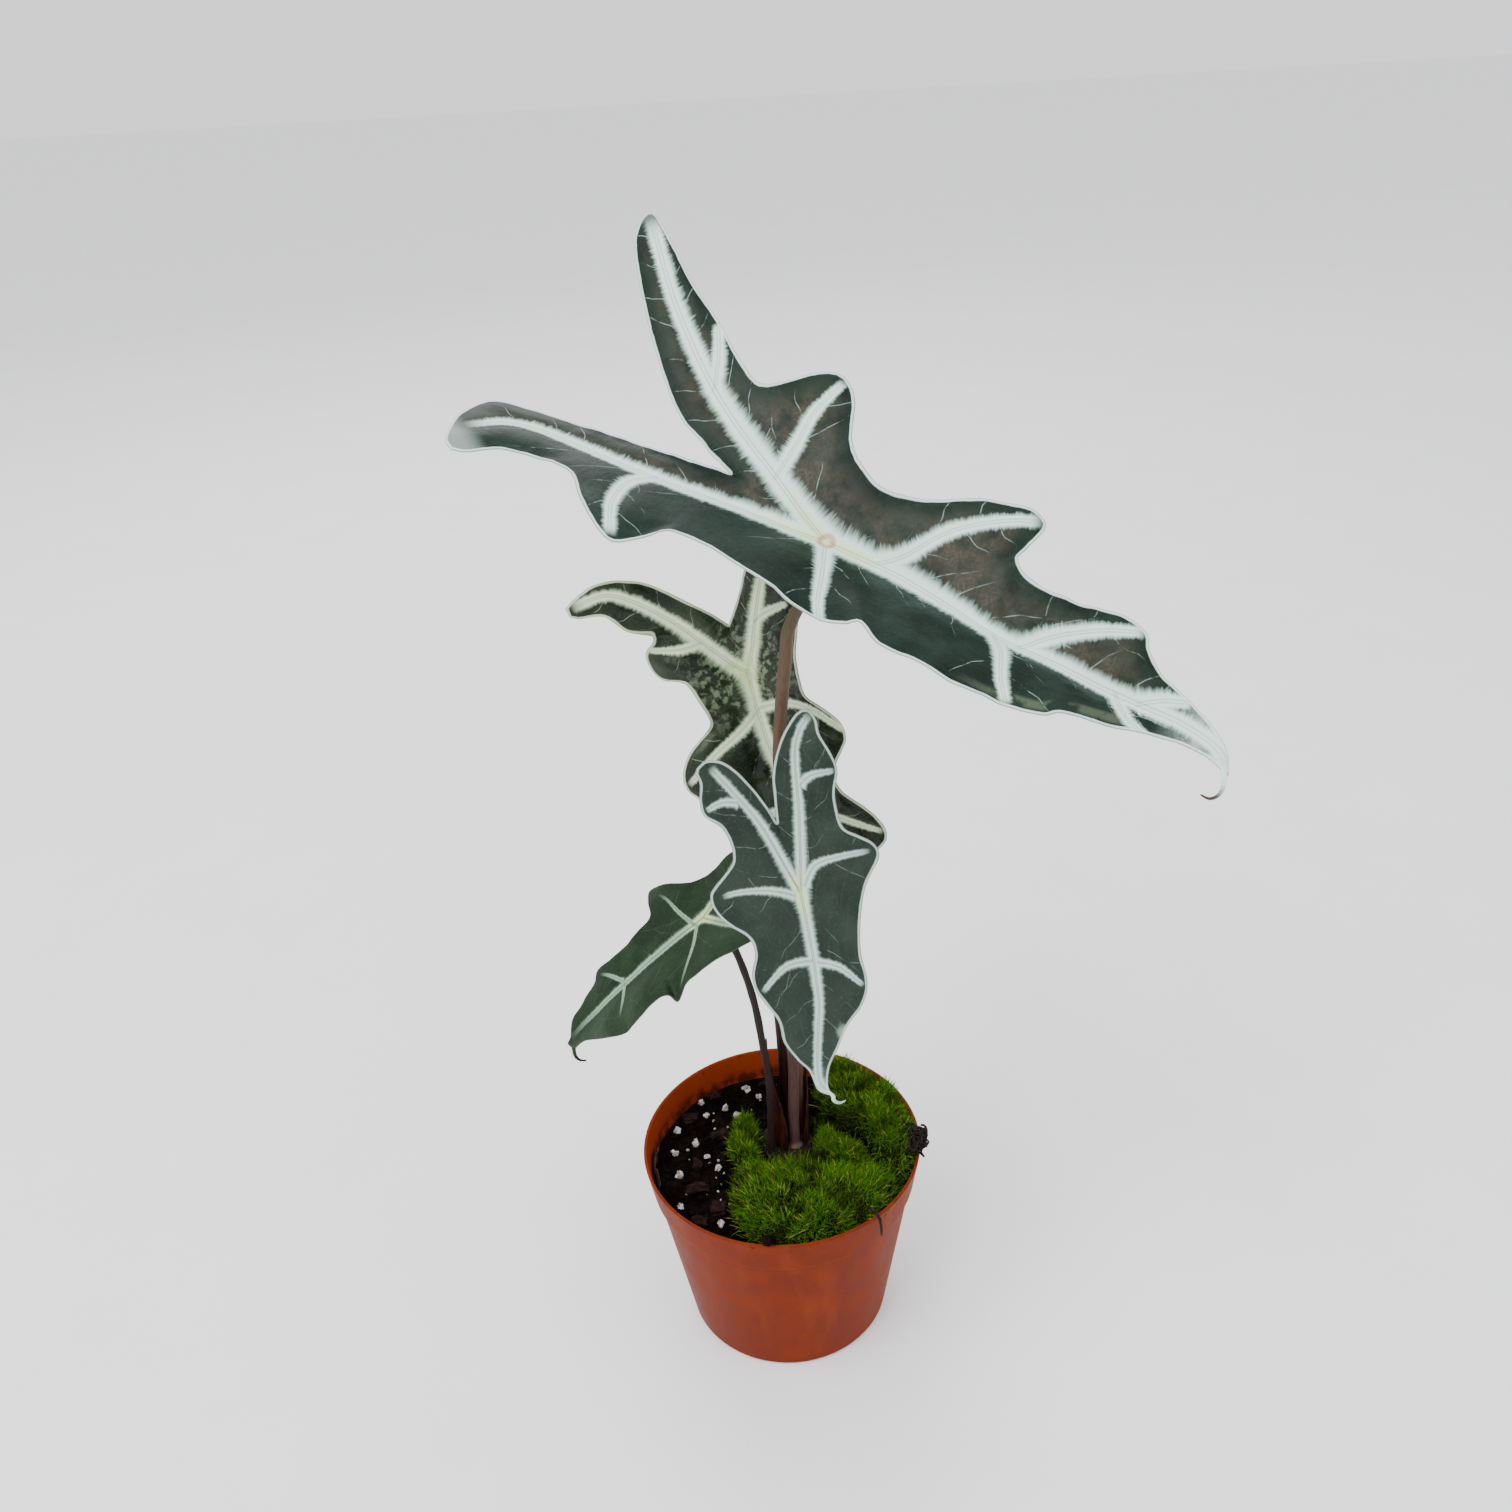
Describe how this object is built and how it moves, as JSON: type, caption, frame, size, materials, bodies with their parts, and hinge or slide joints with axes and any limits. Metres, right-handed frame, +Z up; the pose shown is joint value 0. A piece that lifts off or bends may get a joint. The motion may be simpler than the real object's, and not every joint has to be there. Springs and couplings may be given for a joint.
{
  "type": "potted plant",
  "caption": "Young alocasia with arrow-shaped, pale-veined leaves on slim stalks, growing in a round tapered nursery pot with soil and moss.",
  "frame": {"origin": "centre of the pot's underside, on the surface it stands on", "axes": "+Z up along the pot's axis; -Y is the side the plant is looked at from, with the large leaf's tip towards +X"},
  "size_m": [0.25, 0.183, 0.4572],
  "materials": {
    "pot": "satin moulded plastic",
    "soil": "loose potting mix",
    "rhizome": "rough skin",
    "sheath": "dry, ribbed",
    "petiole_top": "smooth, satin",
    "petiole_back": "smooth, satin",
    "petiole_front": "smooth, satin",
    "petiole_left": "smooth, satin",
    "blade_top": "waxy, pale veins",
    "blade_back": "glossy, pale veins",
    "blade_front": "waxy, pale veins",
    "blade_left": "waxy, pale veins",
    "moss": "soft, shaggy",
    "perlite": "rough, porous",
    "bark": "rough",
    "dried_root": "rough, fibrous",
    "leaf_scrap": "dry"
  },
  "bodies": {
    "root": {"bark_1": "bark", "bark_2": "bark", "bark_3": "bark", "bark_4": "bark", "bark_5": "bark", "bark_6": "bark", "bark_7": "bark", "bark_8": "bark", "blade_back": "blade_back", "blade_front": "blade_front", "blade_left": "blade_left", "blade_top": "blade_top", "leaf_scrap": "leaf_scrap", "moss_front": "moss", "moss_left": "moss", "moss_middle": "moss", "moss_right": "moss", "perlite_01": "perlite", "perlite_02": "perlite", "perlite_03": "perlite", "perlite_04": "perlite", "perlite_05": "perlite", "perlite_06": "perlite", "perlite_07": "perlite", "perlite_08": "perlite", "perlite_09": "perlite", "perlite_10": "perlite", "perlite_11": "perlite", "perlite_12": "perlite", "perlite_13": "perlite", "perlite_14": "perlite", "petiole_back": "petiole_back", "petiole_front": "petiole_front", "petiole_left": "petiole_left", "petiole_top": "petiole_top", "pot": "pot", "rhizome": "rhizome", "root_clump": "dried_root", "sheath_short": "sheath", "sheath_tall": "sheath", "soil": "soil", "soil_crumb": "dried_root", "twig": "dried_root"}
  },
  "joints": []
}
